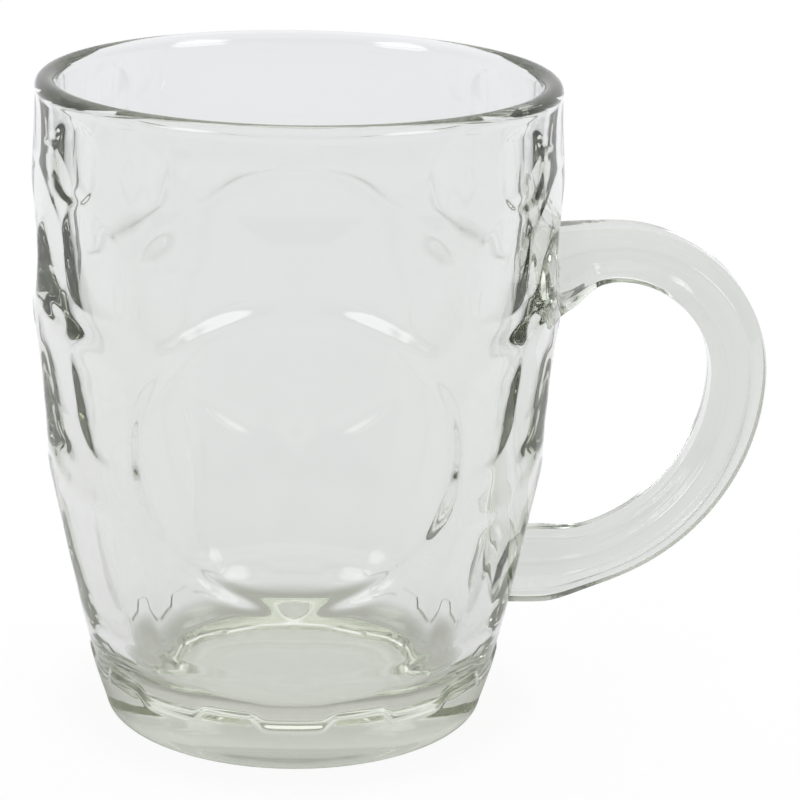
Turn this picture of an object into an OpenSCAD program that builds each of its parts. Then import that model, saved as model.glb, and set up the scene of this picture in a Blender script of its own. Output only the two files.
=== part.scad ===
// Dimpled glass beer mug: a pressed bowl with moulded cells, and a handle fused to its side.
// The mug stands on z = 0, its axis is the z axis, and the handle points along +x.

/* [Bowl] */
// Width of the bowl across the outside of its lip
rim_d = 78; // [74:1:86]
// Height of the bowl
bowl_h = 99; // [90:1:110]
// Width of the bowl at its widest, the belly
belly_d = 80; // [78:1:90]
// Width that the curve of the side has where it runs out at the table
foot_d = 57; // [50:1:62]
// Rounding under the edge of the base
heel_r = 1.4; // [0.8:0.1:3]
// Thickness of the rounded lip
lip_t = 3.3; // [2.4:0.1:4]
// How far the lip stands out from the side below it
lip_bead = 0.15; // [0.1:0.05:0.4]
// Thickness of the side wall, measured on its ribs
wall = 4.4; // [3.6:0.1:5.5]
// Thickness of the floor
floor_t = 5.6; // [4:0.2:12]
// Rounding inside, where the wall meets the floor
corner_r = 12; // [6:0.5:16]
// Width of the dished hollow under the base
punt_d = 44; // [30:1:46]
// Depth of the dished hollow under the base
punt_h = 1.2; // [0.6:0.1:2.5]
// How far the foot band stands out from the side above it
band_step = 0.25; // [0.15:0.05:0.6]
// Width of the tabs with which the foot band rises to the bottom of each cell
tab_w = 7; // [5:0.5:9]

/* [Moulded cells] */
// Number of columns of cells round the bowl, where each roundel takes the place of two
columns = 10; // [8:2:12]
// Width of the plain ribs between neighbouring cells
rib_w = 1.6; // [1:0.1:3]
// Rounding of the corners of a cell
cell_r = 3.5; // [1.5:0.1:5]
// Radius of the arch at the top of a shoulder cell
arch_r = 21; // [16:1:40]
// Depth of the shallow flutes under the lip
collar_depth = 0.5; // [0.3:0.05:0.9]
// Depth of the shoulder cells
shoulder_depth = 1.4; // [0.9:0.05:1.7]
// Depth of the belly cells
belly_depth = 0.9; // [0.6:0.05:1.5]
// Depth of the tall cells above the foot band
skirt_depth = 0.75; // [0.65:0.05:1.3]
// Width of each round panel, one at the front and one at the back
roundel_d = 49.2; // [40:0.5:52]
// Depth of the round panels
roundel_depth = 1; // [0.6:0.1:1.6]
// Width of the raised ring round each round panel
ring_w = 1.5; // [1:0.1:2.5]

/* [Handle] */
// Distance from the axis of the mug to the far edge of the handle
reach = 71.6; // [66:0.5:80]
// Thickness of the handle, seen from the side
grip_t = 8.6; // [7:0.1:10]
// Width of the handle, seen from its back
grip_w = 11; // [9:0.1:14]
// Rounding of the long edges of the handle
grip_r = 3.4; // [2:0.1:3.4]
// Radius of the upper bend, on the middle line of the handle
upper_bend_r = 19; // [16:0.5:21]
// Radius of the lower bend, on the middle line of the handle
lower_bend_r = 31.3; // [28:0.5:33]
// Steepest slope at which the upper bend runs in to the wall, past which a straight neck goes on
steepest = 50; // [46:1:60]
// Diameter of the ball of glass that swells each end of the handle at the wall
root_d = 12.4; // [11.2:0.1:14]

/* [Hidden] */
$fn = 96;
// How far a cut runs past the face that it opens
overrun = 4;

rim_r = rim_d / 2;
belly_r = belly_d / 2;
foot_r = foot_d / 2;
lip_r = lip_t / 2;
// Height of the belly, and heights of the edges between the rows of cells, as shares of the bowl
belly_share = 0.707;
row_shares = [0.102, 0.403, 0.648, 0.859, 0.967];
belly_z = belly_share * bowl_h;
row_z = row_shares * bowl_h;
band_z = row_z[0] - rib_w;
lip_z = bowl_h - lip_r;
roundel_z_share = 0.507;
roundel_z = roundel_z_share * bowl_h;
roundel_r = roundel_d / 2;
pitch = 360 / columns;
// The two round panels face away from and toward +y, square to the handle
roundel_turns = [-90, 90];

// The side is two arcs that meet at the belly with a common upright tangent. The upper radius is
// below zero where the lip is wider than the belly, and the side then flares to the lip.
function arc_r(drop, rise) = (drop * drop + rise * rise) / (2 * drop);
low_arc_r = arc_r(belly_r - foot_r, belly_z);
high_arc_r = arc_r(belly_r - rim_r + lip_bead, lip_z - belly_z);
function side_arc_r(z) = z < belly_z ? low_arc_r : high_arc_r;
function across_r(arc, z) = sign(arc) * sqrt(pow(arc, 2) - pow(z - belly_z, 2));
function side_r(z) = belly_r - side_arc_r(z) + across_r(side_arc_r(z), z);
// How far a corner stands out from where it would only touch the side, so that the two cross
ease_share = 0.006;

// What of an outline lies between two heights
module between(low_z, high_z) {
    intersection() {
        polygon([[0, low_z], [belly_d, low_z], [belly_d, high_z], [0, high_z]]);
        children();
    }
}

// Outline of a vessel below the belly: the lower arc set in by inset, with a rounded bottom corner
module low_outline(inset, bottom_z, corner) {
    arc = low_arc_r - inset;
    drop = belly_z - bottom_z - corner;
    corner_x = belly_r - low_arc_r + sqrt(pow(arc - corner, 2) - pow(drop, 2)) + corner * ease_share;
    touch_z = belly_z - drop * arc / (arc - corner);
    between(touch_z, belly_z) translate([belly_r - low_arc_r, belly_z]) circle(arc);
    translate([corner_x, bottom_z + corner]) circle(corner);
    translate([0, bottom_z]) square([corner_x, corner]);
}

// Outline of the plain side above the belly, set in by inset
module high_outline(inset) {
    between(belly_z, lip_z) {
        if (high_arc_r > 0) translate([belly_r - high_arc_r, belly_z]) circle(high_arc_r - inset);
        else difference() {
            square([rim_r, bowl_h]);
            translate([belly_r - high_arc_r, belly_z]) circle(inset - high_arc_r);
        }
    }
}

module side_outline(inset) {
    low_outline(inset, 0, heel_r);
    high_outline(inset);
}

// Round solid of the side, set in by inset, which is the floor of what is pressed into it
module side_solid(inset) {
    rotate_extrude() side_outline(inset);
}

module lip_outline() {
    translate([rim_r - lip_r, lip_z]) circle(lip_r);
}

module cavity_outline() {
    low_outline(wall, floor_t, corner_r);
    polygon([
        [0, belly_z],
        [belly_r - wall, belly_z],
        [rim_r - lip_t, lip_z],
        [rim_r - lip_t, bowl_h + overrun],
        [0, bowl_h + overrun]
    ]);
}

// Thin skin over the foot band up to top_z, where it ends in a small ledge
module band_outline(top_z) {
    between(0, top_z) low_outline(-band_step, 0, heel_r + band_step);
}

// Tabs of the foot band, one under each cell
module band_tabs() {
    intersection() {
        rotate_extrude() difference() {
            band_outline(row_bottom(0));
            square([foot_r - wall, bowl_h]);
        }
        for (turn = all_turns)
            outward(turn, foot_r - wall / 2, row_bottom(0) / 2)
                square([tab_w, row_bottom(0)], center = true);
    }
}

module bowl_blank() {
    rotate_extrude() difference() {
        union() {
            side_outline(0);
            band_outline(band_z);
            lip_outline();
        }
        cavity_outline();
    }
}

// Rectangle with round corners, centred
module round_rect(w, h, r) {
    difference() {
        square([w, h], center = true);
        for (x = [-1, 1], y = [-1, 1]) translate([x * (w / 2 - r), y * (h / 2 - r)])
            difference() {
                translate([x * r, y * r]) square([2 * r, 2 * r], center = true);
                circle(r * (1 + ease_share));
            }
    }
}

// Rectangle with round corners and a top that is an arch
module arched_rect(w, h, r) {
    intersection() {
        round_rect(w, h, r);
        translate([0, h / 2 - arch_r]) circle(arch_r);
    }
}

// Turns an outline to face outward at the angle turn and gives it depth, starting at radius from
module outward(turn, from, z, tilt = 0) {
    rotate([0, 0, turn]) translate([from, 0, z]) rotate([0, tilt, 0])
        rotate([90, 0, 90]) linear_extrude(belly_r) children();
}

function row_bottom(i) = row_z[i] + rib_w / 2;
function row_top(i) = row_z[i + 1] - rib_w / 2;
function row_h(i) = row_top(i) - row_bottom(i);
function row_mid(i) = (row_top(i) + row_bottom(i)) / 2;
function row_tilt(i) = atan((side_r(row_top(i)) - side_r(row_bottom(i))) / row_h(i));
function row_face(i, depth) = side_r(row_mid(i)) - depth;

// Flat cell of row i, cut square to the slope of the side
module flat_cell(i, depth, turn, arched = false) {
    face = row_face(i, depth);
    w = 2 * face * tan(pitch / 2) - rib_w;
    outward(turn, face, row_mid(i), row_tilt(i)) {
        if (arched) arched_rect(w, row_h(i), cell_r);
        else round_rect(w, row_h(i), cell_r);
    }
}

// Flute under the lip that follows the round of the side and spans some columns
module collar_flute(turn, spans) {
    w = 2 * side_r(row_mid(3)) * sin(spans * pitch / 2) - rib_w;
    difference() {
        outward(turn, belly_r / 2, row_mid(3)) round_rect(w, row_h(3), cell_r);
        side_solid(collar_depth);
    }
}

module roundel_disc(turn, r) {
    outward(turn, belly_r / 2, roundel_z) circle(r);
}

// Angles of the columns: beside the round panels, and the two above and below each of them
side_turns = [for (half = [0, 180], i = [2 : columns / 2 - 1]) half - 90 + pitch * (i - 0.5)];
panel_turns = [for (turn = roundel_turns, side = [-0.5, 0.5]) turn + side * pitch];
all_turns = concat(side_turns, panel_turns);

module cells() {
    difference() {
        union() {
            for (turn = all_turns) {
                flat_cell(0, skirt_depth, turn);
                flat_cell(2, shoulder_depth, turn, arched = true);
            }
            for (turn = side_turns) flat_cell(1, belly_depth, turn);
        }
        for (turn = roundel_turns) roundel_disc(turn, roundel_r + ring_w);
    }
    for (turn = side_turns) collar_flute(turn, 1);
    for (turn = roundel_turns) collar_flute(turn, 2);
}

module roundels() {
    difference() {
        for (turn = roundel_turns) roundel_disc(turn, roundel_r);
        side_solid(roundel_depth);
    }
}

// Shallow dish under the base, so that the mug stands on a ring
module punt() {
    punt_ball_r = arc_r(punt_h, punt_d / 2);
    translate([0, 0, punt_h - punt_ball_r]) rotate([90, 0, 0]) sphere(punt_ball_r);
}

module glass_bowl() {
    color([0.83, 0.89, 0.86, 0.6]) difference() {
        union() {
            bowl_blank();
            band_tabs();
        }
        cells();
        roundels();
        punt();
    }
}

// The handle is one bar in the plane y = 0: an upper bend, a lower bend and a level leg.
// Both bends start at the same height, with an upright tangent, at the far side of the handle.
bend_x = reach - grip_t / 2;
crown_share = 0.734;
bend_z = crown_share * bowl_h - upper_bend_r;
upper_x = bend_x - upper_bend_r;
lower_x = bend_x - lower_bend_r;
leg_z = bend_z - lower_bend_r;
// How deep the bar is drawn into the wall before the form of the wall is cut from it
seat_in = wall / 2;
neck_root_x = row_face(2, shoulder_depth) - seat_in;
leg_root_x = side_r(leg_z) - skirt_depth - seat_in;
// The upper bend ends in the wall, or else where it gets too steep
span_share = (upper_x - neck_root_x) / upper_bend_r;
neck_slope = span_share < sin(steepest) ? asin(span_share) : steepest;
neck_l = (upper_x - neck_root_x - upper_bend_r * sin(neck_slope)) / cos(neck_slope);
neck_root_z = bend_z + upper_bend_r * cos(neck_slope) - neck_l * sin(neck_slope);

module grip_outline() {
    round_rect(grip_t, grip_w, grip_r);
}

// Bar bent round the point (x, bend_z) at radius r, from angle a0 to angle a1 above the horizontal
module bend(x, r, a0, a1) {
    translate([x, 0, bend_z]) rotate([90, 0, 0]) rotate([0, 0, a0])
        rotate_extrude(angle = a1 - a0) translate([r, 0]) grip_outline();
}

// Straight end of the bar, from its root in the wall up the slope to its bend
module bar_end(root_x, root_z, slope, length) {
    translate([root_x, 0, root_z]) rotate([0, -slope, 0]) rotate([90, 0, 90]) rotate([0, 0, 90])
        linear_extrude(length) grip_outline();
}

// Swelling where an end of the bar meets the wall
module root(x, z) {
    translate([x, 0, z]) sphere(root_d / 2);
}

// The column of cells behind the handle, or the two beside it where it stands on a rib
seat_turns = [for (turn = side_turns) if (abs(turn) < pitch) turn];

// Form of the side where the ends of the handle are fused to it
module seat_form() {
    difference() {
        side_solid(0);
        for (turn = seat_turns) {
            flat_cell(0, skirt_depth, turn);
            flat_cell(2, shoulder_depth, turn, arched = true);
        }
    }
}

module handle() {
    color([0.80, 0.87, 0.83, 0.6]) difference() {
        union() {
            bend(upper_x, upper_bend_r, 0, 90 + neck_slope);
            bend(lower_x, lower_bend_r, -90, 0);
            if (neck_slope == steepest) bar_end(neck_root_x, neck_root_z, neck_slope, neck_l);
            if (lower_x > leg_root_x) bar_end(leg_root_x, leg_z, 0, lower_x - leg_root_x);
            root(neck_root_x, neck_root_z);
            root(leg_root_x, leg_z);
        }
        seat_form();
    }
}

glass_bowl();
handle();
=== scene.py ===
"""A dimpled glass beer mug on a pale table, seen from a little above its rim."""
import math
import bpy
import numpy as np
from mathutils import Matrix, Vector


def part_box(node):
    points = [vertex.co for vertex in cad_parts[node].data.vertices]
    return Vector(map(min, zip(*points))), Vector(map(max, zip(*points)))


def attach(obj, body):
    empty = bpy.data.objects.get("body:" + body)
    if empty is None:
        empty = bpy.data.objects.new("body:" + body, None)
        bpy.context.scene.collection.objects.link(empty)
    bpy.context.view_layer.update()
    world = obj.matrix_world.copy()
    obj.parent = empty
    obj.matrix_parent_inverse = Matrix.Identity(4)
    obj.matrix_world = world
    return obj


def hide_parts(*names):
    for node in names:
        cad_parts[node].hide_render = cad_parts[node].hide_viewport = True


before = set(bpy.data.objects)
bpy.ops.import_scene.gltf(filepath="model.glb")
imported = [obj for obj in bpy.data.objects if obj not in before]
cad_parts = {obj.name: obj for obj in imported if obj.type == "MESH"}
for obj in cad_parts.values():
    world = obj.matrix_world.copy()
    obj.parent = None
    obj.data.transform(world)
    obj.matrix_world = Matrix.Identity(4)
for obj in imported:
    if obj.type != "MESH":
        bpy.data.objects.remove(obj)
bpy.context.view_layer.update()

# The camera
# It stands where the photograph was taken from, some 400 mm in front of the mug and 75 mm above
# its rim. The places are in millimetres, from the centre of the base.
MM = 0.001
camera_at = (0, -398.7, 174.2)
camera_yaw, camera_pitch, camera_roll = -2.272, -17.464, -1.2995
focal_px, frame_px = 2728.17, 800


def turned(degrees, axis):
    """A turn of the camera about one axis."""
    return Matrix.Rotation(math.radians(degrees), 4, axis)


def placed(name, data):
    """A new object in the scene, made of that lens or mesh."""
    made = bpy.data.objects.new(name, data)
    bpy.context.scene.collection.objects.link(made)
    return made


lens = bpy.data.cameras.new("photo_lens")
lens.sensor_width = 36
lens.lens = lens.sensor_width * focal_px / frame_px
lens.clip_start = 10 * MM
camera = placed("photo_camera", lens)
camera.matrix_world = (
    Matrix.Translation([c * MM for c in camera_at])
    @ turned(camera_yaw, "Z") @ turned(camera_pitch, "X") @ turned(camera_roll, "Y")
    @ turned(90, "X")
)
bpy.context.scene.camera = camera

# The bowl
# One pour of soda-lime glass, pressed between a patterned mould and a plain plunger, then fire
# polished, which leaves every edge of the pattern soft. Its middle line is the z axis.
bowl_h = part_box("glass_bowl")[1][2] / MM
rim_r, belly_r, foot_r = 39, 39.95, 28.5
belly_z = 0.707 * bowl_h
lip_r, lip_bead = 1.65, 0.15
lip_z = bowl_h - lip_r
heel_r, heel_lean = 1.4, 75
# The wall is thick up to the throat and thins from there to the lip
wall, floor_t, corner_r = 7.2, 5.6, 10
throat_z = 40
# The underside has a very shallow hollow
punt_r, punt_h = 24, 0.4
# The band round the foot has a raised tab at the middle of each column, with slanted ends
band_step, band_z = 0.55, 8.3
tab_half_turn, tab_z, tab_slant = 8.4, 10.2, 3.5
band_polish = 0.4

# The mould's pattern: columns of cells in rows, and a round panel at the front and the back.
# Each row has the depth of its cells at their middle against height, and how much less deep they
# are at the ribs beside them.
columns = 10
pitch = 360 / columns
skirt_depths = (10.2, 0.05), (22, 0.57), (32, 0.5), (37.5, 0.35), (39.5, 0)
belly_depths = (40.3, 0), (43, 0.5), (48, 0.85), (56, 0.9), (61, 0.65), (64.5, 0)
shoulder_depths = ((65, 0), (67, 0.85), (70, 1.25), (74, 1.4), (78, 1.2), (81.5, 0.75),
                   (84.5, 0.3), (86.5, 0))
rows = (skirt_depths, 0.57), (belly_depths, 0.85), (shoulder_depths, 1.4)
# Under the lip are flats with round ends, and one wide shallow flute over each round panel
flat_depth, flat_half_w, flat_corner = 0.45, 6.2, 6.0
flat_low, flat_high = 84.5, 95.8
flute_depth, flute_half_turn = 0.5, 32
roundel_z, roundel_r, roundel_half_h = 50.8, 23.2, 21.6
# A round panel is deepest at its top, and the ring round it sinks a little at the bottom
roundel_low_depth, roundel_high_depth = 0.38, 1.0
ring_low_depth, ring_w = 0.22, 1.2
front_turn, back_turn = -90, 90
# How far the fire softens the edges, which is less above the neck
flute_polish, polish, neck_polish = 1.5, 0.8, 0.4
neck_z, neck_blend = 74, 5
# The outside is drawn on a grid of turns, in degrees, and heights
turn_step, height_step = 0.5, 0.5
turns = np.arange(0, 360, turn_step)
heights = np.arange(0, bowl_h + height_step, height_step)
turn_grid, z_grid = np.meshgrid(turns, heights)


def arc_r(drop, rise):
    """Radius of an arc that starts upright and has moved in by drop after that rise."""
    return (drop ** 2 + rise ** 2) / (2 * drop)


low_arc = arc_r(belly_r - foot_r, belly_z)
high_arc = arc_r(belly_r - rim_r + lip_bead, lip_z - belly_z)


def side_r(z):
    """Radius of the plain side, before the pattern is pressed into it."""
    arc = np.where(z < belly_z, low_arc, high_arc)
    return belly_r - arc + np.sqrt(arc ** 2 - (z - belly_z) ** 2)


def off_turn(turn, about):
    """Signed angle from about to turn, within half a circle either way."""
    return (turn - about + 180) % 360 - 180


def inside(distance):
    """1 within an outline and 0 outside it, given the distance out from its edge."""
    return np.clip(0.5 - distance / height_step, 0, 1)


def rounded(across, up, half_w, half_h, corner):
    """Distance out from the edge of a rectangle with round corners."""
    out_w = np.abs(across) - half_w + corner
    out_h = np.abs(up) - half_h + corner
    reach = np.hypot(np.maximum(out_w, 0), np.maximum(out_h, 0))
    return reach + np.minimum(np.maximum(out_w, out_h), 0) - corner


def cell_off():
    """Signed angle of the grid's points from the middle of their column."""
    return (turn_grid + pitch / 2) % pitch - pitch / 2


def cells(depths, bulge):
    """How deep the cells of one row go below the plain side."""
    depth = np.interp(z_grid, *zip(*depths))
    return np.maximum(depth - bulge * (2 * cell_off() / pitch) ** 2, 0) * (depth > 0)


def beside(turn, half_turn):
    """1 on the columns clear of a panel at turn, and 0 over it."""
    return np.abs(off_turn(turn_grid, turn)) > half_turn


def flats():
    """Flats with round ends under the lip, one on each column beside the panels."""
    plane = side_r(z_grid) - flat_depth
    cut = np.maximum(side_r(z_grid) - plane / np.cos(np.radians(cell_off())), 0)
    across = side_r(z_grid) * np.radians(cell_off())
    mid, half_h = (flat_low + flat_high) / 2, (flat_high - flat_low) / 2
    edge = rounded(across, z_grid - mid, flat_half_w, half_h, flat_corner)
    return cut * inside(edge) * beside(front_turn, pitch) * beside(back_turn, pitch)


def wide_flutes():
    """A wide shallow flute under the lip over each round panel."""
    cut = 0
    for turn in (front_turn, back_turn):
        within = np.abs(off_turn(turn_grid, turn)) < flute_half_turn
        cut = cut + flute_depth * within * (z_grid > flat_low) * (z_grid < flat_high)
    return cut


def panel_distance(turn):
    """Distance in from the edge of a round panel, below zero outside it and on the far side."""
    off = np.radians(off_turn(turn_grid, turn))
    across = side_r(z_grid) * np.sin(off)
    up = (z_grid - roundel_z) * roundel_r / roundel_half_h
    distance = roundel_r - np.hypot(across, up)
    return np.where(np.cos(off) > 0, distance, -roundel_r)


def soften(field, spread):
    """Blurs a field on the grid with a bell of that spread in millimetres, as fire polish does."""
    belly_step = math.radians(turn_step) * belly_r
    bell_end = 3 * spread
    for axis, step, past_end in ((1, belly_step, "wrap"), (0, height_step, "edge")):
        reach = int(bell_end / step) + 1
        offsets = np.arange(-reach, reach + 1)
        weights = np.exp(-0.5 * (offsets * step / spread) ** 2)
        weights /= weights.sum()
        pad = [(0, 0), (0, 0)]
        pad[axis] = (reach, reach)
        padded = np.pad(field, pad, mode=past_end)
        size = field.shape[axis]
        field = sum(w * np.take(padded, np.arange(o + reach, o + reach + size), axis)
                    for w, o in zip(weights, offsets))
    return field


def pressed():
    """Depth of the whole pattern below the plain side, on the grid of turns and heights."""
    cut = sum(cells(*row) for row in rows) + flats()
    share = np.clip((z_grid - roundel_z) / roundel_half_h, -1, 1) / 2 + 0.5
    ring = ring_low_depth * (1 - share) ** 2
    panel = roundel_low_depth * (1 - share) + roundel_high_depth * share
    for turn in (front_turn, back_turn):
        distance = panel_distance(turn)
        cut = np.where(distance > -ring_w, ring, cut)
        cut += (panel - ring) * inside(-distance)
    crisp = np.clip((z_grid - neck_z) / neck_blend, 0, 1)
    cut = soften(cut, polish) * (1 - crisp) + soften(cut, neck_polish) * crisp
    return cut + soften(wide_flutes(), flute_polish)


def outer_r():
    """Radius of the outside on the grid, with the band round the foot and the rounded heel."""
    tab = np.clip((tab_half_turn - np.abs(cell_off())) / tab_slant + 0.5, 0, 1)
    band_top = band_z + (tab_z - band_z) * tab
    band = soften(np.clip((band_top - z_grid) / height_step, 0, 1), band_polish)
    return side_r(z_grid) - pressed() + band_step * band


def wall_r(z):
    """Radius of the inside of the wall, which the plunger leaves plain."""
    drop = belly_z - np.minimum(z, belly_z)
    low = belly_r - low_arc + np.sqrt((low_arc - wall) ** 2 - drop ** 2)
    share = np.clip((z - throat_z) / (lip_z - throat_z), 0, 1)
    share = share * share * (3 - 2 * share)
    return low * (1 - share) + (rim_r - 2 * lip_r) * share


bowl_grid = outer_r()


def lathe_rings():
    """Radius and height of each ring, from under the middle up the outside and in to the floor."""
    punt_rings, foot_rings, heel_rings = 12, 5, 7
    lip_rings, corner_rings, floor_rings = 15, 16, 14
    hub_r, heel_gap, lip_gap, wall_step = 0.5, 0.3, 0.2, 1
    rings = []
    for r in np.linspace(hub_r, punt_r, punt_rings):
        rings.append((r, punt_h * (1 - (r / punt_r) ** 2) ** 2))
    heel_x = side_r(np.array(heel_r)) - heel_r + band_step
    for r in np.linspace(punt_r, heel_x, foot_rings)[1:]:
        rings.append((r, 0))
    for a in np.radians(np.linspace(0, heel_lean, heel_rings)[1:]):
        rings.append((heel_x + heel_r * math.sin(a), heel_r * (1 - math.cos(a))))
    for radius, z in zip(bowl_grid, heights):
        if heel_r + heel_gap < z < lip_z - lip_gap:
            rings.append((radius, z))
    for a in np.radians(np.linspace(0, 180, lip_rings)):
        rings.append((rim_r - lip_r + lip_r * math.cos(a), lip_z + lip_r * math.sin(a)))
    corner_z = floor_t + corner_r
    for z in np.arange(lip_z - wall_step, corner_z, -wall_step):
        rings.append((wall_r(z), z))
    corner_x = wall_r(corner_z) - corner_r
    for a in np.radians(np.linspace(0, 90, corner_rings)):
        rings.append((corner_x + corner_r * math.cos(a), corner_z - corner_r * math.sin(a)))
    for r in np.linspace(corner_x, hub_r, floor_rings)[1:]:
        rings.append((r, floor_t))
    return rings


def closed_mesh(name, points, across):
    """Mesh of rings of points, each of that many, with the first and the last closed by fans."""
    first = points[:across].mean(axis=0)
    last = points[-across:].mean(axis=0)
    low, high = len(points), len(points) + 1
    end = len(points) - across
    starts = np.arange(0, end, across)[:, None]
    here = starts + np.arange(across)
    beyond = starts + (np.arange(across) + 1) % across
    quads = np.stack([here, beyond, beyond + across, here + across], axis=-1)
    quads = quads.reshape(-1, 4).tolist()
    fans = [(low, (k + 1) % across, k) for k in range(across)]
    fans += [(high, end + k, end + (k + 1) % across) for k in range(across)]
    mesh = bpy.data.meshes.new(name)
    mesh.from_pydata(np.vstack([points, first, last]).tolist(), [], quads + fans)
    mesh.validate()
    mesh.shade_smooth()
    return mesh


def bowl_mesh():
    """The rings set out round the mug's middle line."""
    angle, level = np.radians(turns), np.ones_like(turns)
    points = [np.column_stack([r * np.cos(angle), r * np.sin(angle), z * level])
              for r, z in lathe_rings()]
    return closed_mesh("bowl", np.vstack(points) * MM, len(turns))


class Value:
    """A socket that takes part in sums, so that a material reads as arithmetic.

    One with no socket yet stands for its empty tree, and only adds nodes to it.
    """

    def __init__(self, tree, socket=None):
        self.tree = tree
        self.socket = socket

    def node(self, kind, settings, inputs, output=0):
        """Adds a node to the tree: its settings first, then the values or links of its sockets."""
        made = self.tree.nodes.new(kind)
        for key, setting in settings.items():
            setattr(made, key, setting)
        for key, given in inputs.items():
            if isinstance(given, Value):
                self.tree.links.new(given.socket, made.inputs[key])
            else:
                made.inputs[key].default_value = given
        return Value(self.tree, made.outputs[output]) if made.outputs else None

    def maths(self, operation, *given):
        """Works out one step of a sum."""
        return self.node("ShaderNodeMath", {"operation": operation}, dict(enumerate(given)))

    def __add__(self, other):
        return self.maths("ADD", self, other)

    def __radd__(self, other):
        return self.maths("ADD", other, self)

    def __sub__(self, other):
        return self.maths("SUBTRACT", self, other)

    def __rsub__(self, other):
        return self.maths("SUBTRACT", other, self)

    def __mul__(self, other):
        return self.maths("MULTIPLY", self, other)

    def __rmul__(self, other):
        return self.maths("MULTIPLY", other, self)

    def __abs__(self):
        return self.maths("ABSOLUTE", self)


def emptied(owner):
    """The node tree of a material or of the room's light, cleared for new nodes."""
    owner.use_nodes = True
    owner.node_tree.nodes.clear()
    return Value(owner.node_tree)


glass_colour, glass_ior = (0.98, 0.995, 0.98, 1), 1.52
# The body takes away light by the length of its way through the glass, and least of the green
body_colour, bowl_density = (0.56, 0.59, 0.47, 1), 18
wave_scale, wave_strength, wave_depth = 55, 0.25, 0.4 * MM
smear_scale, smear_roughness = 30, 0.02


def pressed_glass(name, density):
    """Clear glass with a faint green body, slow waves from the mould and a few faint smears."""
    material = bpy.data.materials.new(name)
    glass = emptied(material)
    place = glass.node("ShaderNodeTexCoord", {}, {}, "Object")
    waves = glass.node("ShaderNodeTexNoise", {}, {
        "Vector": place, "Scale": wave_scale, "Detail": 1, "Roughness": 0.4})
    smears = glass.node("ShaderNodeTexNoise", {}, {
        "Vector": place, "Scale": smear_scale, "Detail": 3})
    normal = glass.node("ShaderNodeBump", {}, {
        "Height": waves, "Strength": wave_strength, "Distance": wave_depth})
    surface = glass.node("ShaderNodeBsdfPrincipled", {}, {
        "Base Color": glass_colour,
        "Roughness": smear_roughness * smears,
        "IOR": glass_ior,
        "Transmission Weight": 1,
        "Normal": normal,
    })
    body = glass.node("ShaderNodeVolumeAbsorption", {}, {"Color": body_colour, "Density": density})
    glass.node("ShaderNodeOutputMaterial", {}, {"Surface": surface, "Volume": body})
    return material


bowl = placed("pressed_bowl", bowl_mesh())
bowl.data.materials.append(pressed_glass("bowl_glass", bowl_density))
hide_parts("glass_bowl")
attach(bowl, "root")

# The handle
# A bar of the same glass, pressed by itself and stuck hot onto the wall at both ends, where the
# soft glass swells. Its section is a rectangle with bevelled edges, all a little soft.
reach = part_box("handle")[1][0] / MM
grip_t, grip_w = 8.6, 11
bevel, edge_r = 2.5, 1.2
upper_bend_r, lower_bend_r = 19, 31.3
bend_x = reach - grip_t / 2
bend_z = 0.734 * bowl_h - upper_bend_r
low_end_x, high_end_x = 31.5, 32.5
# The roots swell over the last few millimetres, the lower one less, and both less across the bar
root_swell, low_share, across_share = 1.45, 0.6, 0.6
swell_x, swell_reach = 38, 5
# Shallow ripples run along the bar: their depth as a share of its size, and how many run round it
ripple_share, ripples, ripple_phase = 0.03, 9, 1
# How far the roots reach into the wall
seat = 0.4
handle_density = 38


def bar_line():
    """Points and outward ways of the bar's middle line in its plane, from the lower root up."""
    leg_points, lower_points, upper_points = 8, 60, 70
    lower_x, upper_x = bend_x - lower_bend_r, bend_x - upper_bend_r
    leg_z = bend_z - lower_bend_r
    points = [((x, leg_z), (0, -1)) for x in np.linspace(low_end_x, lower_x, leg_points)[:-1]]
    upper_end = math.acos((high_end_x - upper_x) / upper_bend_r)
    low_bend = np.radians(np.linspace(-90, 0, lower_points)), lower_x, lower_bend_r
    high_bend = np.linspace(0, upper_end, upper_points)[1:], upper_x, upper_bend_r
    for angles, middle_x, radius in (low_bend, high_bend):
        for a in angles:
            way = (math.cos(a), math.sin(a))
            points.append(((middle_x + radius * way[0], bend_z + radius * way[1]), way))
    return points


def grip_outline():
    """Points of the bar's section, as shares of half its thickness and half its width."""
    edge_steps, flat_steps = 6, 4
    half_t, half_w = grip_t / 2, grip_w / 2
    knees = [(half_t, half_w - bevel), (half_t - bevel, half_w)]
    knees += [(-x, y) for x, y in reversed(knees)]
    knees += [(-x, -y) for x, y in knees]
    half_bend = math.pi / 8
    inset = 1 / math.cos(half_bend)
    points = []
    for k, (x, y) in enumerate(knees):
        way = (k + 0.5) * math.pi / 4
        cx, cy = x - edge_r * inset * math.cos(way), y - edge_r * inset * math.sin(way)
        for a in np.linspace(way - half_bend, way + half_bend, edge_steps):
            points.append((cx + edge_r * math.cos(a), cy + edge_r * math.sin(a)))
    full = []
    for k, here in enumerate(points):
        after = points[(k + 1) % len(points)]
        parts = flat_steps if math.dist(here, after) > edge_r / 2 else 1
        full += [np.array(here) + (np.array(after) - here) * i / parts for i in range(parts)]
    return np.array(full) / (half_t, half_w)


def outside_at(x, y, z):
    """Radius of the bowl's outside at a place, read from the pressed grid."""
    turn = (np.degrees(np.arctan2(y, x)) % 360) / turn_step
    row = np.clip(z / height_step, 0, len(heights) - 2)
    low_turn, low_row = np.floor(turn).astype(int), np.floor(row).astype(int)
    t, s = turn - low_turn, row - low_row
    west, east = low_turn % len(turns), (low_turn + 1) % len(turns)
    lower = bowl_grid[low_row, west] * (1 - t) + bowl_grid[low_row, east] * t
    upper = bowl_grid[low_row + 1, west] * (1 - t) + bowl_grid[low_row + 1, east] * t
    return lower * (1 - s) + upper * s


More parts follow.
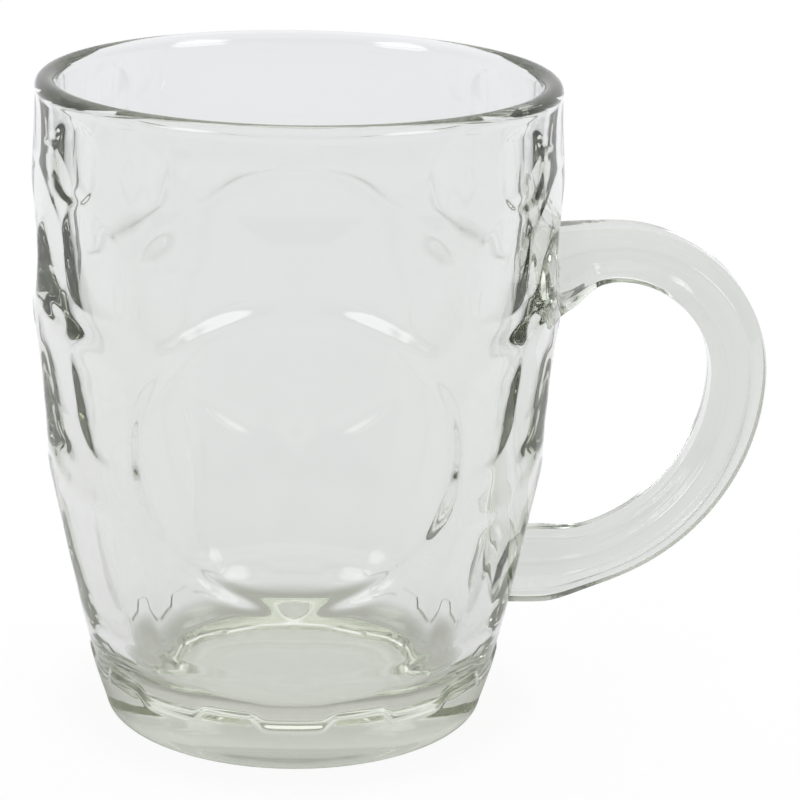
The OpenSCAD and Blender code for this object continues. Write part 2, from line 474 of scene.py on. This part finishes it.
def handle_mesh():
    """The bar swept along its line, swollen at the roots, which end a little inside the wall."""
    outline = grip_outline()
    around = np.arctan2(outline[:, 1], outline[:, 0])
    ripple = 1 - ripple_share * (1 + np.cos(ripples * around + ripple_phase)) / 2
    outline = outline * ripple[:, None]
    rings = []
    for (x, z), (nx, nz) in bar_line():
        clear = max(x - swell_x, 0)
        share = 1 if z > bend_z else low_share
        swell = 1 + (root_swell - 1) * math.exp(-(clear / swell_reach) ** 2) * share
        half_t = grip_t / 2 * swell
        half_w = grip_w / 2 * (1 + (swell - 1) * across_share)
        px = x + nx * outline[:, 0] * half_t
        pz = z + nz * outline[:, 0] * half_t
        py = outline[:, 1] * half_w
        rings.append(np.column_stack([px, py, pz]))
    points = np.vstack(rings)
    radius = np.hypot(points[:, 0], points[:, 1])
    least = outside_at(*points.T) - seat
    points[:, :2] *= np.maximum(least / radius, 1)[:, None]
    return closed_mesh("handle_bar", points * MM, len(outline))


handle = placed("pressed_handle", handle_mesh())
handle.data.materials.append(pressed_glass("handle_glass", handle_density))
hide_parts("handle")
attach(handle, "root")

# The studio
# A pale table that runs on far behind the mug, under a wide soft sky that is white behind the mug
# and dimmer on the side of the camera, as a room is, which draws the dark lines in the glass.
table_half, square = 3000 * MM, ((-1, -1), (1, -1), (1, 1), (-1, 1))
# It lies a hair under the foot, so that the two never share a face
table_drop = 0.1 * MM
# Painted shade: the paper darkens to grey near the camera and is pale from behind the mug on
near_paper_painted_shade, far_paper = (0.56, 0.56, 0.55, 1), (0.94, 0.94, 0.94, 1)
painted_shade_fade, painted_shade_slant = (-420 * MM, 60 * MM), 0.4
# Painted shadow: under the foot the paper is darker, and darkest at the heel
foot_shade, heel_shade = (0.82, 0.82, 0.75, 1), (0.50, 0.50, 0.44, 1)
heel_fade, shade_end = (25 * MM, 29 * MM), (31 * MM, 42 * MM)
# How much of it is plain light, whatever falls on it: to the camera, and through the glass
plain_to_camera, plain_through_glass = 0.93, 0.8
# The glass sees the light a little tinted, and the camera sees it white
room_tint, white = (0.872, 0.864, 0.896, 1), (1, 1, 1, 1)
# The room goes from dim at the camera's side to full behind the mug, and is brighter overhead
back_fade, back_slant, dim_level = (-0.3, 0.7), 0.2, 0.28
top_fade, top_level = (0.3, 0.85), 0.95
# A soft box stands at each side of the camera
box_aside, box_away, box_up = 0.72, -0.60, 0.35
box_fade, box_level = (0.96, 0.99), 4.5

table = bpy.data.meshes.new("table")
table.from_pydata([(x * table_half, y * table_half, 0) for x, y in square], [], [(0, 1, 2, 3)])
floor = placed("table", table)
floor.location.z = -table_drop


def along(place, axis):
    """The X, Y or Z of a place or a direction."""
    return place.node("ShaderNodeSeparateXYZ", {}, {0: place}, axis)


def fade(value, ends, low=0.0, high=1.0):
    """Rises softly from low to high while the value goes from one end to the other."""
    return value.node("ShaderNodeMapRange", {"interpolation_type": "SMOOTHSTEP"}, {
        "Value": value, "From Min": ends[0], "From Max": ends[1], "To Min": low, "To Max": high})


def blend(share, first, second):
    """Goes from the first colour to the second as the share goes from 0 to 1."""
    return share.node("ShaderNodeMix", {"data_type": "RGBA"}, {0: share, 6: first, 7: second}, 2)


def table_paper():
    """Paper whose colour holds painted shade, grey towards the camera and under the foot, but
    which reads white to the camera.
    """
    material = bpy.data.materials.new("table_paper")
    paper = emptied(material)
    place = paper.node("ShaderNodeTexCoord", {}, {}, "Object")
    # Painted shade: the paper's colour darkens towards the camera and the sides
    lit = fade(along(place, "Y") - painted_shade_slant * abs(along(place, "X")), painted_shade_fade)
    from_middle = paper.node("ShaderNodeVectorMath", {"operation": "LENGTH"}, {0: place}, "Value")
    # Painted shadow under the foot, deepest at the heel
    painted_foot_shadow = blend(fade(from_middle, heel_fade), foot_shade, heel_shade)
    colour = blend(fade(from_middle, shade_end), painted_foot_shadow, blend(lit, near_paper_painted_shade, far_paper))
    shaded = paper.node("ShaderNodeBsdfPrincipled", {}, {
        "Base Color": colour, "Roughness": 0.8, "Specular IOR Level": 0.1})
    tinted = paper.node("ShaderNodeMix", {"data_type": "RGBA", "blend_type": "MULTIPLY"}, {
        0: 1.0, 6: colour, 7: room_tint}, 2)
    plain = paper.node("ShaderNodeEmission", {}, {"Color": tinted, "Strength": 1.0})
    plain_white = paper.node("ShaderNodeEmission", {}, {"Strength": 1.0})
    seen = paper.node("ShaderNodeLightPath", {}, {}, "Is Camera Ray")
    through = paper.node("ShaderNodeLightPath", {}, {}, "Is Transmission Ray")
    light = paper.node("ShaderNodeMixShader", {}, {
        0: plain_through_glass * through, 1: shaded, 2: plain})
    light = paper.node("ShaderNodeMixShader", {}, {
        0: plain_to_camera * seen, 1: light, 2: plain_white})
    paper.node("ShaderNodeOutputMaterial", {}, {"Surface": light})
    return material


table.materials.append(table_paper())


def soft_room():
    """Light from all round the mug, which is plain white wherever the camera looks past it."""
    world = bpy.data.worlds.new("soft_room")
    bpy.context.scene.world = world
    room = emptied(world)
    way = room.node("ShaderNodeTexCoord", {}, {}, "Generated")
    level = fade(along(way, "Y") - back_slant * along(way, "X"), back_fade, dim_level)
    level = level + fade(along(way, "Z"), top_fade, 0.0, top_level)
    for side in (-1, 1):
        toward = room.node("ShaderNodeVectorMath", {"operation": "DOT_PRODUCT"}, {
            0: way, 1: (box_aside * side, box_away, box_up)}, "Value")
        level = level + fade(toward, box_fade, 0.0, box_level)
    seen = room.node("ShaderNodeLightPath", {}, {}, "Is Camera Ray")
    light = room.node("ShaderNodeBackground", {}, {
        "Color": blend(seen, room_tint, white), "Strength": level * (1 - seen) + seen})
    room.node("ShaderNodeOutputWorld", {}, {"Surface": light})


soft_room()
bpy.context.scene.view_settings.view_transform = "Standard"
# Light is followed far enough round inside the glass that no path ends dark
bpy.context.scene.cycles.max_bounces = 32
bpy.context.scene.cycles.glossy_bounces = 24
bpy.context.scene.cycles.transmission_bounces = 32
